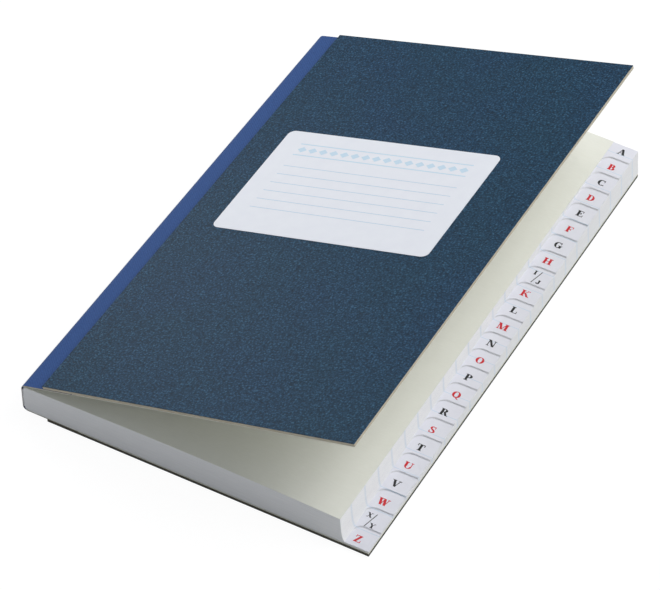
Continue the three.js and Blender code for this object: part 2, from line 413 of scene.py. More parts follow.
# %% [markdown]
# ## Spine lining
# Under the tape, the backs of the leaves are held by open-weave mull set in glue. Only its ends show, at the head and
# the tail of the spine.

# %% Material: glued mull
mull, tree, shader = material("glued_open_weave_mull")
place = add(tree, "ShaderNodeTexCoord").outputs["Object"]
mull_threads = add(tree, "ShaderNodeTexVoronoi", {"distance": "MANHATTAN"}, {"Vector": place, "Scale": 1000.0})
tint = add(
    tree,
    "ShaderNodeMix",
    RGBA,
    {"Factor": mull_threads.outputs[0], 6: colour("#d6d6d6"), 7: colour("#b9b9ba")},
)
fill(tree, shader, {"Base Color": tint.outputs[2], "Roughness": 0.85})

# %% [markdown]
# ## Label stock and inks
# The label is coated paper, cool white and a little smoother than the leaves. Inks sit on top as thin plates. Offset
# ink is a matt film, and small pinholes in it let the paper through, so each ink gets a slight mottle.

# %% Material: label and inks
label_stock, tree, shader = material("coated_label_paper")
place = add(tree, "ShaderNodeTexCoord").outputs["Object"]
clouds = add(tree, "ShaderNodeTexNoise", inputs={"Vector": place, "Scale": 220.0, "Detail": 3.0})
tint = add(tree, "ShaderNodeMix", RGBA, {"Factor": clouds.outputs[0], 6: colour("#e8eaf0"), 7: colour("#eff1f5")})
relief = add(tree, "ShaderNodeBump", inputs={"Height": clouds.outputs[0], "Strength": 0.1, "Distance": 0.00003})
fill(tree, shader, {"Base Color": tint.outputs[2], "Normal": relief, "Roughness": 0.55, "IOR": 1.5})

inks = {}
for ink_name, deep, thin in (
    ("black_offset_ink", "#0a0a0c", "#17171b"),
    ("red_offset_ink", "#c00a1a", "#d0202f"),
    ("pale_blue_rule_ink", "#b9cfe2", "#cbdcea"),
    ("pale_blue_ornament_ink", "#c3dbeb", "#d0e3ef"),
):
    inks[ink_name], tree, shader = material(ink_name)
    place = add(tree, "ShaderNodeTexCoord").outputs["Object"]
    mottle = add(tree, "ShaderNodeTexNoise", inputs={"Vector": place, "Scale": 2500.0, "Detail": 2.0})
    tint = add(tree, "ShaderNodeMix", RGBA, {"Factor": mottle.outputs[0], 6: colour(deep), 7: colour(thin)})
    fill(tree, shader, {"Base Color": tint.outputs[2], "Roughness": 0.6})
print("materials:", len(bpy.data.materials))

# %% [markdown]
# ## The leaves
# 96 leaves in 24 sections are the book's main form. Each leaf is a sheet with a notch: below its own tab it is cut
# back by the width of the tabs, with a round inner corner from the cutter. Drawing 96 outlines by hand makes no sense
# when one rule gives them all, so Geometry Nodes grow them. The trick is to start from a flat solid whose vertex
# positions are whole numbers: X counts columns, Y counts rows and Z counts leaves. It is instanced on a line of 96
# points, and then one formula sends every numbered vertex to its real place.

# %% Geometry Nodes: a tree with named inputs, and a way to run it


def geometry_tree(name, inputs):
    """A new Geometry Nodes tree with named inputs; returns the tree and the node that offers them."""
    tree = bpy.data.node_groups.new(name, "GeometryNodeTree")
    tree.interface.new_socket("Geometry", in_out="OUTPUT", socket_type="NodeSocketGeometry")
    for label, value in inputs.items():
        kind = {int: "NodeSocketInt", float: "NodeSocketFloat"}.get(type(value), "NodeSocketMaterial")
        tree.interface.new_socket(label, in_out="INPUT", socket_type=kind)
    return tree, tree.nodes.new("NodeGroupInput")


def grow(name, tree, inputs, geometry, paint):
    """End a tree in Realize Instances and Set Material, run it, and return a plain mesh object."""
    real = add(tree, "GeometryNodeRealizeInstances", inputs={0: geometry})
    painted = add(tree, "GeometryNodeSetMaterial", inputs={"Geometry": real, "Material": paint})
    output = tree.nodes.new("NodeGroupOutput")
    tree.links.new(painted.outputs[0], output.inputs[0])
    carrier = in_scene(name + "_carrier", bpy.data.meshes.new(name + "_carrier"))
    modifier = carrier.modifiers.new(tree.name, "NODES")
    modifier.node_group = tree
    for item in tree.interface.items_tree:
        if item.in_out == "INPUT" and item.name in inputs:
            modifier[item.identifier] = inputs[item.name]
    seen = carrier.evaluated_get(bpy.context.evaluated_depsgraph_get())
    mesh = bpy.data.meshes.new_from_object(seen)
    carrier.modifiers.remove(modifier)
    bpy.data.objects.remove(carrier)
    piece = in_scene(name, mesh)
    print(name, "has", len(mesh.vertices), "vertices and", len(mesh.polygons), "faces")
    return piece


# %% Geometry Nodes: the numbered stack
MAIN_COLUMNS = 18  # from the spine to the inner wall of the index
ARC_ROWS = 6  # steps of the round inner corner
LAST_COLUMN = MAIN_COLUMNS + 4
LAST_ROW = ARC_ROWS + 3
LEAF_SHARE = 0.94  # paper's share of the space for one leaf, the rest is air

leaf_sizes = {
    "Sections": SECTIONS,
    "Leaves per section": LEAVES_PER_SECTION,
    "Spine side": BLOCK_START * MM,
    "Inner wall": TAB_INNER * MM,
    "Fore-edge": WIDTH * MM,
    "Tail": TAIL * MM,
    "Head": HEAD * MM,
    "First tab": FIRST_TAB * MM,
    "Tab pitch": TAB_PITCH * MM,
    "Corner radius": TAB_CORNER * MM,
    "Shoulder radius": SHOULDER_RADIUS * MM,
    "Bottom": BLOCK_BOTTOM * MM,
    "Top": BLOCK_TOP * MM,
    "Thickening": SPINE_THICKENING * MM,
    "Swell": LEAF_SWELL * MM,
    "Lean": FORE_EDGE_LEAN * MM,
    "Inner flare": 1.1 * MM,
    "Fan of a section": 0.45 * MM,
    "Trim wander": 0.02 * MM,
    "Seed": 7,
    "Paper": page_paper,
}
tree, given = geometry_tree("stepped_index_leaves", leaf_sizes)
size = given.outputs

grid = add(
    tree,
    "GeometryNodeMeshGrid",
    inputs={
        "Size X": float(LAST_COLUMN),
        "Size Y": float(LAST_ROW),
        "Vertices X": LAST_COLUMN + 1,
        "Vertices Y": LAST_ROW + 1,
    },
)
numbered = add(
    tree,
    "GeometryNodeTransform",
    inputs={"Geometry": grid.outputs[0], "Translation": (LAST_COLUMN / 2, LAST_ROW / 2, 0.0)},
)
thick = add(
    tree,
    "GeometryNodeExtrudeMesh",
    {"mode": "FACES"},
    {"Mesh": numbered, "Offset": (0.0, 0.0, 1.0), "Offset Scale": LEAF_SHARE, "Individual": False},
)
underside = add(tree, "GeometryNodeFlipFaces", inputs={0: numbered})
halves = add(tree, "GeometryNodeJoinGeometry")
tree.links.new(thick.outputs[0], halves.inputs[0])
tree.links.new(underside.outputs[0], halves.inputs[0])
blank = add(tree, "GeometryNodeMergeByDistance", inputs={"Geometry": halves, "Distance": 0.01})
count = add(tree, "ShaderNodeMath", {"operation": "MULTIPLY"}, {0: size["Sections"], 1: size["Leaves per section"]})
line = add(tree, "GeometryNodeMeshLine", inputs={"Count": count, "Offset": (0.0, 0.0, 1.0)})
stack = add(tree, "GeometryNodeInstanceOnPoints", inputs={"Points": line, "Instance": blank})
loose = add(tree, "GeometryNodeRealizeInstances", inputs={0: stack})

# %% [markdown]
# Now the formula. From the column, row and leaf number of a vertex come, in turn: the section it belongs to, the lower
# edge of that section's tab, Y from the row, X from the column, and the height between the flat bottom and the
# swollen top. The four leaves of a section fan out by a tenth of a millimetre each, which makes the line between two
# tabs soft. At last the leaves lean, and each gets a hundredth or two of a millimetre of its own, as after the trim.
# Each row of a table is one Math node: its name, the operation, and what goes in, by name or as a number.

# %% Geometry Nodes: section, tab edge and Y
whole = add(tree, "ShaderNodeSeparateXYZ", inputs={0: add(tree, "GeometryNodeInputPosition")})
column, row, level = whole.outputs[0], whole.outputs[1], whole.outputs[2]
known = {**dict(size.items()), "count": count, "column": column, "row": row, "level": level}
known["turned"] = add(
    tree,
    "ShaderNodeMapRange",
    inputs={"Value": row, "From Min": 1.0, "From Max": ARC_ROWS + 1.0, "To Min": 0.0, "To Max": math.pi / 2},
)
for name, operation, *terms in (
    ("nudged", "ADD", "level", 0.01),
    ("leaf", "FLOOR", "nudged"),
    ("above", "SUBTRACT", "count", "leaf"),
    ("above_own", "SUBTRACT", "above", 0.5),
    ("in_sections", "DIVIDE", "above_own", "Leaves per section"),
    ("section", "FLOOR", "in_sections"),
    ("first_edge", "SUBTRACT", "Head", "First tab"),
    ("down", "MULTIPLY", "section", "Tab pitch"),
    ("straight_edge", "SUBTRACT", "first_edge", "down"),
    ("in_section", "SUBTRACT", "in_sections", "section"),
    ("from_middle", "SUBTRACT", "in_section", 0.5),
    ("fanned", "MULTIPLY", "from_middle", "Fan of a section"),
    ("tab_edge", "SUBTRACT", "straight_edge", "fanned"),
    ("sine", "SINE", "turned"),
    ("cosine", "COSINE", "turned"),
    ("short_of", "SUBTRACT", "sine", 1.0),
    ("curved", "MULTIPLY_ADD", "short_of", "Corner radius", "tab_edge"),
    ("inside", "MAXIMUM", "curved", "Tail"),
    ("is_tail", "LESS_THAN", "row", 0.5),
    ("is_head", "GREATER_THAN", "row", LAST_ROW - 0.5),
):
    terms = {i: known.get(term, term) for i, term in enumerate(terms)}
    known[name] = add(tree, "ShaderNodeMath", {"operation": operation}, terms)
low_y = add(tree, "ShaderNodeMix", inputs={"Factor": known["is_tail"], 2: known["inside"], 3: size["Tail"]})
y = add(tree, "ShaderNodeMix", inputs={"Factor": known["is_head"], 2: low_y.outputs[0], 3: size["Head"]})

# %% Geometry Nodes: X from the column
FLARE_POWER = 6.0  # keeps the flare of the inner wall near its foot

for name, first, last in (
    ("corner_share", float(MAIN_COLUMNS), MAIN_COLUMNS + 2.0),
    ("tab_share", MAIN_COLUMNS + 2.0, float(LAST_COLUMN)),
):
    known[name] = add(tree, "ShaderNodeMapRange", inputs={"Value": column, "From Min": first, "From Max": last})
for name, operation, *terms in (
    ("share_up", "DIVIDE", "level", "count"),
    ("block_height", "SUBTRACT", "Top", "Bottom"),
    ("share_down", "SUBTRACT", 1.0, "share_up"),
    ("nearer", "MINIMUM", "share_up", "share_down"),
    ("from_face", "MULTIPLY", "nearer", "block_height"),
    ("short_of_arc", "SUBTRACT", "Shoulder radius", "from_face"),
    ("into_arc", "MAXIMUM", "short_of_arc", 0.0),
    ("arc_square", "MULTIPLY", "into_arc", "into_arc"),
    ("radius_square", "MULTIPLY", "Shoulder radius", "Shoulder radius"),
    ("chord_square", "SUBTRACT", "radius_square", "arc_square"),
    ("chord", "SQRT", "chord_square"),
    ("inset", "SUBTRACT", "Shoulder radius", "chord"),
    ("start", "ADD", "Spine side", "inset"),
    ("flare_share", "POWER", "share_down", FLARE_POWER),
    ("wall_x", "MULTIPLY_ADD", "flare_share", "Inner flare", "Inner wall"),
    ("fullness", "SUBTRACT", 1.0, "cosine"),
    ("corner_reach", "MULTIPLY", "fullness", "Corner radius"),
    ("corner_x", "MULTIPLY", "corner_share", "corner_reach"),
    ("tab_end", "SUBTRACT", "Fore-edge", "wall_x"),
    ("tab_reach", "SUBTRACT", "tab_end", "Corner radius"),
    ("on_tab", "GREATER_THAN", "row", ARC_ROWS + 1.5),
    ("tab_span", "MULTIPLY", "tab_share", "tab_reach"),
    ("tab_x", "MULTIPLY", "tab_span", "on_tab"),
    ("outer_x", "ADD", "corner_x", "tab_x"),
):
    terms = {i: known.get(term, term) for i, term in enumerate(terms)}
    known[name] = add(tree, "ShaderNodeMath", {"operation": operation}, terms)
main_x = add(
    tree,
    "ShaderNodeMapRange",
    inputs={
        "Value": column,
        "From Min": 0.0,
        "From Max": float(MAIN_COLUMNS),
        "To Min": known["start"],
        "To Max": known["wall_x"],
    },
)
known["flat_x"] = add(tree, "ShaderNodeMath", {"operation": "ADD"}, {0: main_x, 1: known["outer_x"]})

# %% Geometry Nodes: height, lean and the last small wander
known["along"] = add(
    tree,
    "ShaderNodeMapRange",
    inputs={"Value": known["flat_x"], "From Min": size["Spine side"], "From Max": size["Fore-edge"]},
)
known["wander"] = add(
    tree,
    "FunctionNodeRandomValue",
    {"data_type": "FLOAT"},
    {2: 0.0, 3: 1.0, "ID": known["leaf"], "Seed": size["Seed"]},
)
for name, operation, *terms in (
    ("half_turn", "MULTIPLY", "along", math.pi),
    ("bow", "SINE", "half_turn"),
    ("bulge", "MULTIPLY", "bow", "Swell"),
    ("to_spine", "SUBTRACT", 1.0, "along"),
    ("thicker", "MULTIPLY", "to_spine", "Thickening"),
    ("extra", "ADD", "bulge", "thicker"),
    ("full_height", "ADD", "block_height", "extra"),
    ("z", "MULTIPLY_ADD", "share_up", "full_height", "Bottom"),
    ("risen", "SUBTRACT", "z", "Bottom"),
    ("risen_share", "DIVIDE", "risen", "block_height"),
    ("far", "DIVIDE", "flat_x", "Fore-edge"),
    ("lean_share", "MULTIPLY", "risen_share", "far"),
    ("lean", "MULTIPLY", "lean_share", "Lean"),
    ("leaned_x", "SUBTRACT", "flat_x", "lean"),
    ("trimmed", "MULTIPLY", "wander", "Trim wander"),
    ("cut_x", "SUBTRACT", "leaned_x", "trimmed"),
    ("half_width", "MULTIPLY", "Fore-edge", 0.5),
    ("x", "SUBTRACT", "cut_x", "half_width"),
):
    terms = {i: known.get(term, term) for i, term in enumerate(terms)}
    known[name] = add(tree, "ShaderNodeMath", {"operation": operation}, terms)
target = add(tree, "ShaderNodeCombineXYZ", inputs={0: known["x"], 1: y.outputs[0], 2: known["z"]})
shaped = add(tree, "GeometryNodeSetPosition", inputs={"Geometry": loose, "Position": target})
clean = add(tree, "GeometryNodeMergeByDistance", inputs={"Geometry": shaped, "Distance": 0.001 * MM})

index_leaves = grow("index_leaves", tree, leaf_sizes, clean, size["Paper"])
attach(index_leaves, "leaves")
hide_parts("page_block")

# %% [markdown]
# ## Sheets that follow a bend
# Endpapers and tape are flat strips bent round the spine. Each is drawn as a path in the cross-section, from one edge
# of the strip to the other, and given its thickness on both sides of the path. The strip then runs the full height of
# the book. A Bezier through the fold keeps the bend smooth.

# %% A strip from a path in the cross-section


def bezier(a, b, c, d, steps):
    """Points of a cubic curve from a to d, without its first point."""
    points = []
    for i in range(1, steps + 1):
        t = i / steps
        weights = ((1 - t) ** 3, 3 * t * (1 - t) ** 2, 3 * t * t * (1 - t), t**3)
        points.append(tuple(sum(w * p[k] for w, p in zip(weights, (a, b, c, d))) for k in (0, 1)))
    return points


def straight(a, b, steps):
    """Points from a to b, without the first."""
    return [tuple(a[k] + (b[k] - a[k]) * i / steps for k in (0, 1)) for i in range(1, steps + 1)]


def strip(name, path, thickness, paint, rows=2):
    """A closed sheet along a path of (distance from the spine, height), with a UV map in millimetres."""
    count = len(path)
    sides = ([], [])
    lengths = [0.0]
    for i, point in enumerate(path):
        before = Vector(path[max(i - 1, 0)])
        after = Vector(path[min(i + 1, count - 1)])
        along = (after - before).normalized()
        normal = Vector((-along.y, along.x)) * thickness / 2
        sides[0].append(Vector(point) + normal)
        sides[1].append(Vector(point) - normal)
        if i:
            lengths.append(lengths[-1] + (Vector(point) - Vector(path[i - 1])).length)
    ring = sides[0] + sides[1][::-1]
    ring_u = lengths + lengths[::-1]
    mesh = bmesh.new()
    uv = mesh.loops.layers.uv.new("millimetres")
    grid_rows = []
    for r in range(rows):
        across = TAIL + HEIGHT * r / (rows - 1)
        grid_rows.append([mesh.verts.new(((p.x - WIDTH / 2) * MM, across * MM, p.y * MM)) for p in ring])
    for r in range(rows - 1):
        for i in range(len(ring)):
            j = (i + 1) % len(ring)
            face = mesh.faces.new((grid_rows[r][i], grid_rows[r + 1][i], grid_rows[r + 1][j], grid_rows[r][j]))
            face.smooth = True
            places = ((i, r), (i, r + 1), (j, r + 1), (j, r))
            for loop, (k, q) in zip(face.loops, places):
                loop[uv].uv = (ring_u[k], HEIGHT * q / (rows - 1))
    for r in (0, rows - 1):
        for i in range(count - 1):
            a, b, c, d = i, i + 1, len(ring) - 2 - i, len(ring) - 1 - i
            corners = (a, b, c, d) if r == 0 else (d, c, b, a)
            face = mesh.faces.new([grid_rows[r][k] for k in corners])
            for loop, k in zip(face.loops, corners):
                loop[uv].uv = (ring_u[k], HEIGHT * r / (rows - 1))
    bmesh.ops.recalc_face_normals(mesh, faces=mesh.faces)
    for face in mesh.faces:
        if any(not edge.is_manifold for edge in face.edges):
            raise ValueError(name + " is not closed")
    for edge in mesh.edges:
        edge.smooth = edge.calc_face_angle(0.0) < math.radians(40)
    piece = painted_mesh(name, mesh, paint)
    print(name, "is", round(lengths[-1], 1), "mm wide when flat")
    return piece


# %% [markdown]
# ## Endpapers
# One folded sheet joins the leaves to each board: half is pasted down inside the cover, half is the free leaf. The
# front free leaf is cut back to the inner edge of the tabs and lies on the swell.

# %% The pasted half, which is alike in both


def pasted(start, to_place):
    """From the fold over the tape, then a small step down to the board and along it."""
    on_tape, on_board = ENDPAPER / 2, BOARD_LEVELS[0] - GLUE - ENDPAPER / 2
    over_tape, past_tape = to_place(TAPE_END, on_tape), to_place(TAPE_END + 1, on_board)
    path = straight(start, over_tape, 2) + straight(over_tape, past_tape, 1)
    return path + straight(past_tape, to_place(COVER_LENGTH, on_board), 4)


# %% Front endpaper
FLY_STEPS = 28
fly_start = BLOCK_START + SHOULDER_RADIUS
fly_middle = GLUE + ENDPAPER / 2

path = []
for i in range(FLY_STEPS + 1):
    x = TAB_INNER + (fly_start - TAB_INNER) * i / FLY_STEPS
    path.append(leaned(x, leaf_top(x) + fly_middle))
fold_out = on_front_cover(1.3, ENDPAPER / 2)
fold_end = path[-1]
path += bezier(fold_end, (0.75, fold_end[1] - 0.02), (0.2, FRONT_HINGE - 0.02), fold_out, 14)
path += pasted(fold_out, on_front_cover)
front_endpaper = strip("front_endpaper", path, ENDPAPER, endpaper)
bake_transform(front_endpaper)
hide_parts("front_flyleaf", "front_pastedown")

# %% Back endpaper
BACK_FLY = 1.88  # height of the free leaf's middle
BACK_FOLD = 0.9  # how near to the spine the fold comes
fold_in, fold_out = (2.6, BACK_FLY), on_back_cover(2.3, ENDPAPER / 2)
path = [(WIDTH, BACK_FLY)]
path += straight(path[0], fold_in, 4)
path += bezier(fold_in, (BACK_FOLD, BACK_FLY), (BACK_FOLD, 1.66), fold_out, 12)
path += pasted(fold_out, on_back_cover)
back_endpaper = strip("back_endpaper", path, ENDPAPER, endpaper)
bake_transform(back_endpaper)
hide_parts("back_flyleaf", "back_pastedown")

# %% [markdown]
# ## Spine tape
# One strip of cloth goes from under the front board, over the spine, to under the back board. It turns with both
# covers, and a piece can bend between two bodies only, so it is made in two halves that meet halfway down the spine,
# with the weave running on from one to the other.

# %% Both halves of the tape
SPINE_MIDDLE = 7.3
tape_line = TAPE / 2

top_turn = on_front_cover(2.0, TAPE_LEVEL)
top_before = on_front_cover(0.6, TAPE_LEVEL)
path = [(tape_line, SPINE_MIDDLE)]
path += straight(path[0], (tape_line, 11.6), 6)
path += bezier((tape_line, 11.6), (tape_line, 12.6), top_before, top_turn, 14)
path += straight(top_turn, on_front_cover(TAPE_END, TAPE_LEVEL), 6)
front_tape = strip("front_tape", path, TAPE, book_cloth)
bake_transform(front_tape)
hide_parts("spine_tape", "front_tape_flap")

low_turn = on_back_cover(1.7, TAPE_LEVEL)
path = [(tape_line, SPINE_MIDDLE)]
path += straight(path[0], (tape_line, 3.1), 6)
path += bezier((tape_line, 3.1), (tape_line, 2.2), on_back_cover(0.8, TAPE_LEVEL), low_turn, 14)
path += straight(low_turn, on_back_cover(TAPE_END, TAPE_LEVEL), 6)
back_tape = strip("back_tape", path, TAPE, book_cloth)
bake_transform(back_tape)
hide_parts("back_tape_flap")

# %% [markdown]
# ## Boards and cover papers
# Each cover is board with grained paper glued on, and both were cut in one stroke. The knife leaves the edges square
# but presses them a little round, so a flat block gets a small bevel. The block is drawn in the cover's own frame,
# along, across and out, and a function then carries it to its place.

# %% Slabs with pressed edges


def slab(name, along, out, paint, to_place, bevel):
    """A full-height slab between two distances along the cover and two heights out of it."""
    mesh = bmesh.new()
    corners = []
    for a in along:
        for h in (TAIL, HEAD):
            for o in out:
                corners.append(mesh.verts.new((a, h, o)))
    bmesh.ops.convex_hull(mesh, input=corners)
    bmesh.ops.dissolve_limit(mesh, angle_limit=0.01, verts=mesh.verts, edges=mesh.edges)
    bmesh.ops.bevel(mesh, geom=mesh.edges[:], offset=bevel, segments=3, profile=0.5, affect="EDGES")
    for vertex in mesh.verts:
        x, z = to_place(vertex.co.x, vertex.co.z)
        vertex.co = ((x - WIDTH / 2) * MM, vertex.co.y * MM, z * MM)
    bmesh.ops.recalc_face_normals(mesh, faces=mesh.faces)
    for face in mesh.faces:
        face.smooth = True
    piece = painted_mesh(name, mesh, paint)
    flat = piece.modifiers.new("weighted_normals", "WEIGHTED_NORMAL")
    flat.keep_sharp = True
    return piece


BOARD_BEVEL = 0.1
PAPER_BEVEL = 0.07
reach = (BOARD_START, COVER_LENGTH)
for side, to_place in (("front", on_front_cover), ("back", on_back_cover)):
    board = slab(side + "_pulp_board", reach, BOARD_LEVELS, greyboards[side], to_place, BOARD_BEVEL)
    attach(board, side + "_cover")
    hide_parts(side + "_board")
    paper = slab(side + "_grained_paper", reach, COVER_PAPER_LEVELS, cover_paper, to_place, PAPER_BEVEL)
    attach(paper, side + "_cover")
    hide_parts(side + "_cover_paper")
    print(side, "board and paper in place")

# %% [markdown]
# ## Printing
# Ink is drawn as thin closed plates that stand a hundredth of a millimetre off the paper, so it is crisp from any
# distance and needs no image. Every printed shape is a flat outline first. A function then carries the outline to the
# surface that it is printed on.

# %% From outlines to ink plates
fuse_tree = bpy.data.node_groups.new("fuse_overlapping_strokes", "GeometryNodeTree")
for way in ("INPUT", "OUTPUT"):
    fuse_tree.interface.new_socket("Geometry", in_out=way, socket_type="NodeSocketGeometry")
strokes = fuse_tree.nodes.new("NodeGroupInput")
union = add(
    fuse_tree,
    "GeometryNodeMeshBoolean",
    {"operation": "UNION", "solver": "EXACT"},
    {"Mesh 2": strokes, "Self Intersection": True},
)
add(fuse_tree, "NodeGroupOutput", inputs={0: union})


def plates(name, outlines, paint, lift):
    """Closed plates from flat outlines, fused where they overlap; lift carries (x, y, layer 0 or 1) to its place."""
    mesh = bmesh.new()
    for outline in outlines:
        low = [mesh.verts.new((px, py, 0.0)) for px, py in outline]
        high = [mesh.verts.new((px, py, 1.0)) for px, py in outline]
        mesh.faces.new(high)
        mesh.faces.new(low[::-1])
        for i in range(len(outline)):
            j = (i + 1) % len(outline)
            mesh.faces.new((low[i], low[j], high[j], high[i]))
    bmesh.ops.recalc_face_normals(mesh, faces=mesh.faces)
    carrier = painted_mesh(name + "_flat", mesh, paint)
    modifier = carrier.modifiers.new("fuse", "NODES")
    modifier.node_group = fuse_tree
    seen = carrier.evaluated_get(bpy.context.evaluated_depsgraph_get())
    data = bpy.data.meshes.new_from_object(seen)
    bpy.data.objects.remove(carrier)
    data.name = name
    for vertex in data.vertices:
        px, py, layer = vertex.co
        vertex.co = Vector(lift(px, py, layer)) * MM
    data.materials.clear()
    data.materials.append(paint)
    piece = in_scene(name, data)
    print(name, "has", len(outlines), "strokes fused to", len(data.polygons), "faces")
    return piece


def bar(x0, x1, y0, y1):
    """An upright rectangle."""
    return [[(x0, y0), (x1, y0), (x1, y1), (x0, y1)]]


def label_place(along, across, layer):
    """A place on the label's face, or just above it."""
    x, z = on_front_cover(along, LABEL_LEVEL + LABEL_THICKNESS + INK_GAP + INK_FILM * layer)
    return x - WIDTH / 2, across, z


# %% [markdown]
# ## Title label
# The label is a die-cut sheet with small round corners, pasted on the grain. An outline with an arc at each corner is
# all that it needs, lifted to the cover by the same function as the printing. Six pale rules wait for a title, and a
# row of lozenges between two fine lines fills the head of the label: an old printer's ornament.

# %% Label, rules and ornament
RULES = 6
RULE_SPACING = 4.9
FIRST_RULE = 25.1
RULE_LEFT = 31.0
RULE_RIGHT = 103.5
RULE_THICKNESS = 0.28

LABEL = (22.4, 111.6, -12.9, 45.2)  # left, right, low, high
LABEL_CORNER = 2.7


def label_sheet_place(along, across, layer):
    """A place on the underside or the face of the label."""
    x, z = on_front_cover(along, LABEL_LEVEL + LABEL_THICKNESS * layer)
    return x - WIDTH / 2, across, z


left, right, low, high = LABEL
outline = []
for cx, cy, first in (
    (right - LABEL_CORNER, low + LABEL_CORNER, -90),
    (right - LABEL_CORNER, high - LABEL_CORNER, 0),
    (left + LABEL_CORNER, high - LABEL_CORNER, 90),
    (left + LABEL_CORNER, low + LABEL_CORNER, 180),
):
    for step in range(11):
        turn = math.radians(first + 9 * step)
        outline.append((cx + LABEL_CORNER * math.cos(turn), cy + LABEL_CORNER * math.sin(turn)))
title_label = plates("title_label", [outline], label_stock, label_sheet_place)
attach(title_label, "front_cover")
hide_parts("front_label")

outlines = []
for i in range(RULES):
    across = FIRST_RULE - RULE_SPACING * i
    outlines += bar(RULE_LEFT, RULE_RIGHT, across - RULE_THICKNESS / 2, across + RULE_THICKNESS / 2)
label_rules = plates("label_rules", outlines, inks["pale_blue_rule_ink"], label_place)
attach(label_rules, "front_cover")

# %% Ornament
LOZENGES = 16
LOZENGE_HALF_WIDTH = 1.9
LOZENGE_HALF_HEIGHT = 1.6
ORNAMENT_MIDDLE = 35.0
FINE_LINE_OFFSET = 3.2
FINE_LINE_HALF = 0.25

outlines = []
pitch = (RULE_RIGHT - RULE_LEFT) / LOZENGES
low, high = ORNAMENT_MIDDLE - LOZENGE_HALF_HEIGHT, ORNAMENT_MIDDLE + LOZENGE_HALF_HEIGHT
for i in range(LOZENGES):
    middle = RULE_LEFT + pitch * (i + 0.5)
    left, right = middle - LOZENGE_HALF_WIDTH, middle + LOZENGE_HALF_WIDTH
    outlines.append([(left, ORNAMENT_MIDDLE), (middle, low), (right, ORNAMENT_MIDDLE), (middle, high)])
for across in (ORNAMENT_MIDDLE - FINE_LINE_OFFSET, ORNAMENT_MIDDLE + FINE_LINE_OFFSET):
    outlines += bar(RULE_LEFT, RULE_RIGHT, across - FINE_LINE_HALF, across + FINE_LINE_HALF)
label_ornament = plates("label_ornament", outlines, inks["pale_blue_ornament_ink"], label_place)
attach(label_ornament, "front_cover")

# %% [markdown]
# ## Index letters
# The tabs carry bold capitals with serifs, black and red by turns. A modern serif letter is thick stems, hairlines,
# thin slab serifs and bowls that swell at the side, so four stroke functions draw the whole alphabet on a square one
# unit high. Strokes may overlap, because the plates are fused. Two tabs share a pair of small letters with a slash.

# %% Strokes of a serif letter
STEM = 0.26
HAIR = 0.085
THIN = 0.09  # the light strokes of A, M, N and the like
SERIF = 0.1  # how far a serif stands out from its stem


def top(x0, x1):
    """A hairline along the top of the letter."""
    return bar(x0, x1, 1 - HAIR, 1)


def base(x0, x1):
    """A hairline along the foot of the letter."""
    return bar(x0, x1, 0, HAIR)


def rung(x0, x1, y):
    """A hairline at any height."""
    return bar(x0, x1, y, y + HAIR)


def lean_stroke(x0, y0, x1, y1, width):
    """A stroke with level ends between two heights, the lower end given first."""
    half = width / 2
    return [[(x0 - half, y0), (x0 + half, y0), (x1 + half, y1), (x1 - half, y1)]]


def stem(x, low=0.0, high=1.0, foot=True, cap=True, width=STEM):
    """An upright stem with serifs."""
    shapes = bar(x - width / 2, x + width / 2, low, high)
    if foot:
        shapes += bar(x - width / 2 - SERIF, x + width / 2 + SERIF, low, low + HAIR)
    if cap:
        shapes += bar(x - width / 2 - SERIF, x + width / 2 + SERIF, high - HAIR, high)
    return shapes


def bowl(cx, cy, rx, ry, start, end, side=STEM, rim=HAIR):
    """Part of a ring, thick at the sides and thin at the top and bottom, in pieces of at most a half turn."""
    shapes = []
    parts = max(1, math.ceil((end - start) / 180))
    for p in range(parts):
        a0 = start + (end - start) * p / parts
        a1 = start + (end - start) * (p + 1) / parts
        steps = max(3, round((a1 - a0) / 15))
        turns = [math.radians(a0 + (a1 - a0) * i / steps) for i in range(steps + 1)]
        outer = [(cx + rx * math.cos(t), cy + ry * math.sin(t)) for t in turns]
        inner = [(cx + (rx - side) * math.cos(t), cy + (ry - rim) * math.sin(t)) for t in turns]
        shapes.append(outer + inner[::-1])
    return shapes


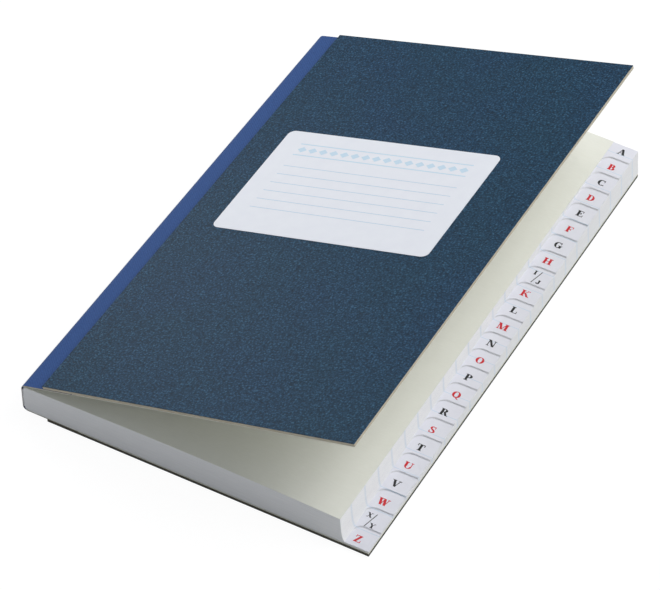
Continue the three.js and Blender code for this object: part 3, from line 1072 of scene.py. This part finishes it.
# %% The alphabet
LETTERS = {
    "A": lean_stroke(0.12, 0, 0.44, 1, THIN) + lean_stroke(0.74, 0, 0.44, 1, STEM) + rung(0.2, 0.66, 0.28)
    + base(-0.02, 0.28) + base(0.54, 0.94),
    "B": stem(0.22, foot=False, cap=False) + base(0, 0.45) + top(0, 0.42) + rung(0.2, 0.45, 0.49)
    + bowl(0.4, 0.74, 0.33, 0.26, -90, 90) + bowl(0.42, 0.28, 0.37, 0.28, -90, 90),
    "C": bowl(0.45, 0.5, 0.44, 0.5, 48, 312) + bar(0.7, 0.78, 0.64, 1) + bar(0.7, 0.78, 0.02, 0.22),
    "D": stem(0.22, foot=False, cap=False) + base(0, 0.42) + top(0, 0.42) + bowl(0.4, 0.5, 0.45, 0.5, -90, 90),
    "E": stem(0.22, foot=False, cap=False) + base(0, 0.74) + top(0, 0.7) + rung(0.2, 0.52, 0.48)
    + bar(0.7, 0.78, 0, 0.32) + bar(0.65, 0.73, 0.7, 1) + bar(0.47, 0.55, 0.36, 0.68),
    "F": stem(0.22, cap=False) + top(0, 0.7) + rung(0.2, 0.52, 0.46) + bar(0.65, 0.73, 0.68, 1)
    + bar(0.47, 0.55, 0.34, 0.66),
    "G": bowl(0.45, 0.5, 0.44, 0.5, 48, 320) + bar(0.7, 0.78, 0.64, 1) + stem(0.72, 0.03, 0.46, foot=False),
    "H": stem(0.2) + stem(0.76) + rung(0.2, 0.76, 0.47),
    "I": stem(0.24),
    "J": stem(0.46, 0.26, 1, foot=False) + bowl(0.29, 0.27, 0.29, 0.27, 180, 360)
    + bowl(0.12, 0.25, 0.1, 0.1, 0, 360, 0.099, 0.099),
    "K": stem(0.2) + lean_stroke(0.3, 0.4, 0.74, 1, 0.1) + lean_stroke(0.82, 0, 0.42, 0.6, STEM) + top(0.6, 0.92)
    + base(0.62, 1.0),
    "L": stem(0.22, foot=False) + base(0, 0.72) + bar(0.68, 0.76, 0, 0.36),
    "M": stem(0.14, width=THIN) + stem(0.98) + lean_stroke(0.54, 0, 0.2, 1, STEM)
    + lean_stroke(0.54, 0, 0.92, 1, THIN),
    "N": stem(0.16, width=THIN) + stem(0.8, width=THIN, foot=False) + lean_stroke(0.74, 0, 0.2, 1, STEM),
    "O": bowl(0.46, 0.5, 0.46, 0.5, 0, 360),
    "P": stem(0.22, cap=False) + top(0, 0.42) + rung(0.2, 0.42, 0.44) + bowl(0.4, 0.72, 0.37, 0.28, -90, 90),
    "Q": bowl(0.46, 0.5, 0.46, 0.5, 0, 360) + lean_stroke(0.8, -0.18, 0.44, 0.16, 0.2),
    "R": stem(0.22, cap=False) + top(0, 0.42) + rung(0.2, 0.44, 0.46) + bowl(0.4, 0.73, 0.36, 0.27, -90, 90)
    + lean_stroke(0.78, 0, 0.5, 0.5, STEM) + base(0.66, 0.96),
    "S": bowl(0.37, 0.73, 0.31, 0.27, 40, 200, 0.2) + bowl(0.37, 0.27, 0.33, 0.27, -140, 20, 0.2)
    + [[(0.08, 0.66), (0.2, 0.5), (0.5, 0.32), (0.68, 0.34), (0.56, 0.52), (0.26, 0.68)]] + bar(0.56, 0.64, 0.68, 1)
    + bar(0.06, 0.14, 0, 0.34),
    "T": stem(0.42, cap=False) + top(0.02, 0.82) + bar(0.02, 0.1, 0.68, 1) + bar(0.74, 0.82, 0.68, 1),
    "U": stem(0.2, 0.3, 1, foot=False) + stem(0.78, 0.3, 1, foot=False, width=THIN)
    + bowl(0.455, 0.34, 0.375, 0.34, 180, 360, 0.2),
    "V": lean_stroke(0.46, 0, 0.16, 1, STEM) + lean_stroke(0.46, 0, 0.78, 1, THIN) + top(-0.06, 0.38)
    + top(0.62, 0.94),
    "W": lean_stroke(0.36, 0, 0.14, 1, STEM) + lean_stroke(0.36, 0, 0.6, 1, THIN) + lean_stroke(0.8, 0, 0.58, 1, STEM)
    + lean_stroke(0.8, 0, 1.04, 1, THIN) + top(-0.08, 0.72) + top(0.9, 1.18),
    "X": lean_stroke(0.72, 0, 0.2, 1, STEM) + lean_stroke(0.14, 0, 0.74, 1, THIN) + top(0, 0.4) + top(0.6, 0.9)
    + base(0, 0.28) + base(0.54, 0.92),
    "Y": lean_stroke(0.46, 0.44, 0.16, 1, STEM) + lean_stroke(0.46, 0.44, 0.78, 1, THIN)
    + stem(0.46, 0, 0.48, cap=False) + top(-0.04, 0.36) + top(0.64, 0.92),
    "Z": lean_stroke(0.14, 0, 0.6, 1, 0.26) + top(0.04, 0.72) + base(0.02, 0.74) + bar(0.04, 0.12, 0.7, 1)
    + bar(0.68, 0.76, 0, 0.3),
}

# %% Letters on the tabs
TABS = [*"ABCDEFGH", "I/J", *"KLMNOPQRSTUVW", "X/Y", "Z"]
CAP_HEIGHT = 3.05
SMALL_CAP = 2.1
SLASH_HEIGHT = 6.5
LETTER_WIDENING = 1.1
LETTER_MIDDLE = 129.25
FIRST_LETTER_RISE = 4.3  # middle of a letter above its tab's lower edge, a little less on each tab
LAST_LETTER_RISE = 3.35
PAIR_OFFSETS = ((-1.35, 1.95), (1.5, -1.95))  # of two small letters from the middle of their tab


def placed(shapes, height, middle_x, middle_y):
    """Strokes scaled to a height and centred on a place of the page."""
    columns = [px for shape in shapes for px, _ in shape]
    centre = (min(columns) + max(columns)) / 2
    wide = height * LETTER_WIDENING
    return [
        [(middle_x + (px - centre) * wide, middle_y + (py - 0.5) * height) for px, py in shape]
        for shape in shapes
    ]


def tab_place(px, py, layer):
    """A place on the tab that lies at this height of the page, or just above it."""
    section = min(max(math.ceil((HEAD - FIRST_TAB - py) / TAB_PITCH), 0), SECTIONS - 1)
    leaves = SECTIONS * LEAVES_PER_SECTION
    share = (leaves - section * LEAVES_PER_SECTION - 1 + LEAF_SHARE) / leaves
    flat_x = px / (1 - FORE_EDGE_LEAN * share / WIDTH)
    z = BLOCK_BOTTOM + share * (leaf_top(flat_x) - BLOCK_BOTTOM)
    return px - WIDTH / 2, py, z + INK_GAP + INK_FILM * layer


by_ink = {"black_offset_ink": [], "red_offset_ink": []}
for i, text in enumerate(TABS):
    tab_edge = max(HEAD - FIRST_TAB - TAB_PITCH * i, TAIL)
    middle_y = tab_edge + FIRST_LETTER_RISE + (LAST_LETTER_RISE - FIRST_LETTER_RISE) * i / (len(TABS) - 1)
    ink = by_ink["black_offset_ink" if i % 2 == 0 else "red_offset_ink"]
    if "/" in text:
        for letter, (aside, up) in zip(text.split("/"), PAIR_OFFSETS):
            ink += placed(LETTERS[letter], SMALL_CAP, LETTER_MIDDLE + aside, middle_y + up)
        ink += placed(lean_stroke(0, 0, 0.23, 1, 0.04), SLASH_HEIGHT, LETTER_MIDDLE, middle_y)
    else:
        ink += placed(LETTERS[text], CAP_HEIGHT, LETTER_MIDDLE, middle_y)

index_letters_black = plates("index_letters_black", by_ink["black_offset_ink"], inks["black_offset_ink"], tab_place)
index_letters_red = plates("index_letters_red", by_ink["red_offset_ink"], inks["red_offset_ink"], tab_place)
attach(index_letters_black, "leaves")
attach(index_letters_red, "leaves")

# %% [markdown]
# ## Lining
# The spine lining is a CAD solid of the right shape, so it stays and only takes its material.

# %% Lining material
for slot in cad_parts["spine_lining"].material_slots:
    slot.material = mull

# %% [markdown]
# ## Camera, floor and light
# The camera stands where the photograph's perspective puts it. The floor is a plain pale sheet that catches the
# object's shadow. To the camera it shines a little by itself, so that it reads as white paper. Most light comes from a
# large soft lamp at the upper right, so the tail of the book stays in shade. Weaker lamps stand at the left and behind
# the head. A last small one, low at the left, grazes the covers and brings out their grain.

# %% Camera
scene = bpy.context.scene
camera_data = bpy.data.cameras.new("camera")
camera_data.sensor_width = 36.0
camera_data.lens = 170.28
camera = in_scene("camera", camera_data)
camera.location = (0.37790, -0.69395, 0.78854)
aim = Vector((-0.00086, -0.00748, 0.00349)) - camera.location
camera.rotation_euler = aim.to_track_quat("-Z", "Y").to_euler()
scene.camera = camera

# %% Floor, world and lamps
FLOOR_HALF = 3.0
FLOOR_DROP = 0.0002  # a hair under the table plane, so that the back cover doesn't flicker
WHITE = (1.0, 1.0, 1.0, 1.0)

floor_paint = bpy.data.materials.new("matt_white_floor")
floor_paint.use_nodes = True
tree = floor_paint.node_tree
tree.nodes.clear()
diffuse = add(tree, "ShaderNodeBsdfDiffuse", inputs={"Color": colour("#f4f4f4")})
glow = add(tree, "ShaderNodeEmission", inputs={"Color": WHITE, "Strength": 1.05})
rays = add(tree, "ShaderNodeLightPath").outputs
camera_ray, glossy_ray = rays["Is Camera Ray"], rays["Is Glossy Ray"]
seen = add(tree, "ShaderNodeMath", {"operation": "MAXIMUM"}, {0: camera_ray, 1: glossy_ray})
share = add(tree, "ShaderNodeMath", {"operation": "MULTIPLY"}, {0: seen, 1: 0.9})
mixed = add(tree, "ShaderNodeMixShader", inputs={0: share, 1: diffuse, 2: glow})
add(tree, "ShaderNodeOutputMaterial", inputs={0: mixed})

floor_mesh = bpy.data.meshes.new("floor")
floor_corners = [(FLOOR_HALF * a, FLOOR_HALF * b, -FLOOR_DROP) for a, b in ((-1, -1), (1, -1), (1, 1), (-1, 1))]
floor_mesh.from_pydata(floor_corners, [], [(0, 1, 2, 3)])
floor_mesh.materials.append(floor_paint)
floor = in_scene("floor", floor_mesh)
floor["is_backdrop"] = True

world = bpy.data.worlds.new("studio")
scene.world = world
world.use_nodes = True
tree = world.node_tree
tree.nodes.clear()
rays = add(tree, "ShaderNodeLightPath").outputs
camera_ray, glossy_ray = rays["Is Camera Ray"], rays["Is Glossy Ray"]
seen = add(tree, "ShaderNodeMath", {"operation": "MAXIMUM"}, {0: camera_ray, 1: glossy_ray})
strength = add(tree, "ShaderNodeMapRange", inputs={"Value": glossy_ray, "To Min": 0.38, "To Max": 0.4})
air = add(tree, "ShaderNodeMix", RGBA, {"Factor": seen, 6: colour("#f1f6ff"), 7: WHITE})
bright = add(tree, "ShaderNodeMath", {"operation": "MAXIMUM"}, {0: strength, 1: camera_ray})
sky = add(tree, "ShaderNodeBackground", inputs={"Color": air.outputs[2], "Strength": bright})
add(tree, "ShaderNodeOutputWorld", inputs={0: sky})

for lamp_name, place, power, extent in (
    ("key_lamp", (0.75, 0.55, 1.15), 13.0, 1.0),
    ("fill_lamp", (-0.8, 0.3, 1.2), 1.8, 1.2),
    ("head_lamp", (0.3, 0.9, 0.9), 2.0, 0.8),
    ("gloss_lamp", (-0.39, 0.215, 0.22), 0.3, 0.1),
):
    lamp_data = bpy.data.lights.new(lamp_name, "AREA")
    lamp_data.energy = power
    lamp_data.size = extent
    lamp = in_scene(lamp_name, lamp_data)
    lamp.location = place
    lamp.rotation_euler = (-Vector(place)).to_track_quat("-Z", "Y").to_euler()

scene.view_settings.view_transform = "Standard"

# %% [markdown]
# ## Size and finish
# The dressed model should fill the CAD model's box; its size is printed in millimetres.

# %% Sizes and finish
low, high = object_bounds()
print("visual box, mm:", [round(1000 * (b - a), 2) for a, b in zip(low, high)])
